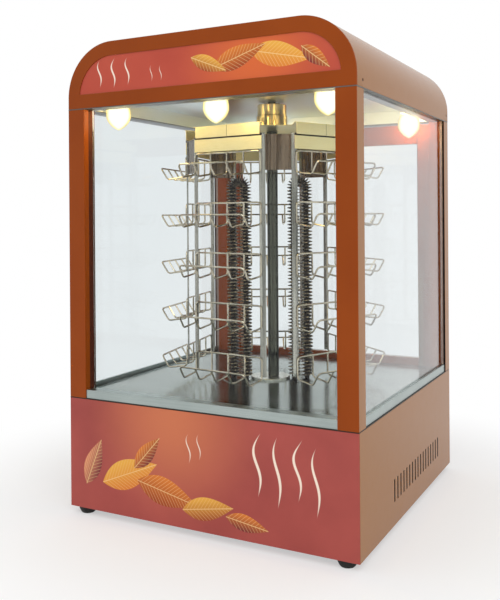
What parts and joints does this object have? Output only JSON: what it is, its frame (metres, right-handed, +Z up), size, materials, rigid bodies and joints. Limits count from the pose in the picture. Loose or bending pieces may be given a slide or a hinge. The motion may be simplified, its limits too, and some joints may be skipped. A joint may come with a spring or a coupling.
{
  "type": "sweet potato roaster",
  "caption": "Counter-top glass roaster with a turning rack of wire baskets round two finned heaters, an arched cap with lamps and a hinged rear door.",
  "frame": {"origin": "middle of the overall footprint, on the surface that the feet stand on", "axes": "+X to the right of the printed front, +Y to the rear door, +Z up"},
  "size_m": [0.55, 0.578, 0.841],
  "materials": {
    "copper_paint": "glossy metallic burnt-copper paint",
    "printed_panel": "sheet metal with a glossy warm red and orange print",
    "stainless": "brushed",
    "polished_steel": "polished",
    "wire": "bright plated wire",
    "galvanised": "galvanised",
    "heater_metal": "heat-darkened steel fins",
    "rubber": "matt",
    "clear_glass": "clear",
    "lamp_glass": "frosted warm white",
    "lamp_socket": "white porcelain",
    "black_plastic": "fine grain",
    "rocker_red": "glossy",
    "pilot_lens": "translucent",
    "bronze": "sintered bronze",
    "cast_alloy": "as cast"
  },
  "bodies": {
    "cabinet": {"post_front_left": "copper_paint", "post_front_right": "copper_paint", "post_rear_left": "copper_paint", "post_rear_right": "copper_paint", "base_left_panel": "copper_paint", "base_right_panel": "copper_paint", "base_back_panel": "copper_paint", "cap_shell": "copper_paint", "cap_front_frame": "copper_paint", "cap_back_panel": "copper_paint", "top_frame": "copper_paint", "base_front_panel": "printed_panel", "banner_panel": "printed_panel", "front_sill": "stainless", "side_sills": "stainless", "ceiling_pan": "stainless", "floor_pan": "stainless", "base_deck": "stainless", "heater_base": "stainless", "hinge_post_leaves": "stainless", "hinge_pins": "polished_steel", "heater_nuts": "polished_steel", "bottom_plate": "galvanised", "motor_bracket": "galvanised", "heater_1": "heater_metal", "heater_2": "heater_metal", "rubber_feet": "rubber", "front_glass": "clear_glass", "left_glass": "clear_glass", "right_glass": "clear_glass", "lamp_bulbs": "lamp_glass", "lamp_sockets": "lamp_socket", "thermostat_body": "black_plastic", "switch_housings": "black_plastic", "cable_gland": "black_plastic", "terminal_block": "black_plastic", "indicator_lamps": "pilot_lens", "shaft_bush": "bronze", "gear_motor": "cast_alloy", "bearing_housing": "cast_alloy"},
    "rack": {"drive_shaft": "polished_steel", "thrust_collar": "polished_steel", "rack_hub": "polished_steel", "hood_pan": "stainless", "hood_rails": "stainless", "corner_plates": "stainless", "rack_uprights": "stainless", "basket_tier_1": "wire", "basket_tier_2": "wire", "basket_tier_3": "wire", "basket_tier_4": "wire", "basket_tier_5": "wire"},
    "rear_door": {"door_frame": "copper_paint", "door_glass": "clear_glass", "door_handle": "stainless", "hinge_door_leaves": "stainless"},
    "knob": {"thermostat_knob": "black_plastic"},
    "power_switch": {"power_rocker": "rocker_red"},
    "light_switch": {"light_rocker": "rocker_red"}
  },
  "joints": [
    {"name": "rack_spin", "type": "hinge", "parent": "cabinet", "child": "rack", "pos_m": [0, -0.014, 0], "axis": [0, 0, 1], "continuous": true},
    {"name": "door_swing", "type": "hinge", "parent": "cabinet", "child": "rear_door", "pos_m": [0.2395, 0.2664, 0.4665], "axis": [0, 0, -1], "range_deg": [0, 110]},
    {"name": "knob_turn", "type": "hinge", "parent": "cabinet", "child": "knob", "pos_m": [-0.15, 0.261, 0.117], "axis": [0, -1, 0], "range_deg": [0, 270]},
    {"name": "power_rock", "type": "hinge", "parent": "cabinet", "child": "power_switch", "pos_m": [0, 0.256, 0.117], "axis": [1, 0, 0], "range_deg": [0, 14]},
    {"name": "light_rock", "type": "hinge", "parent": "cabinet", "child": "light_switch", "pos_m": [0.062, 0.256, 0.117], "axis": [1, 0, 0], "range_deg": [0, 14]}
  ]
}
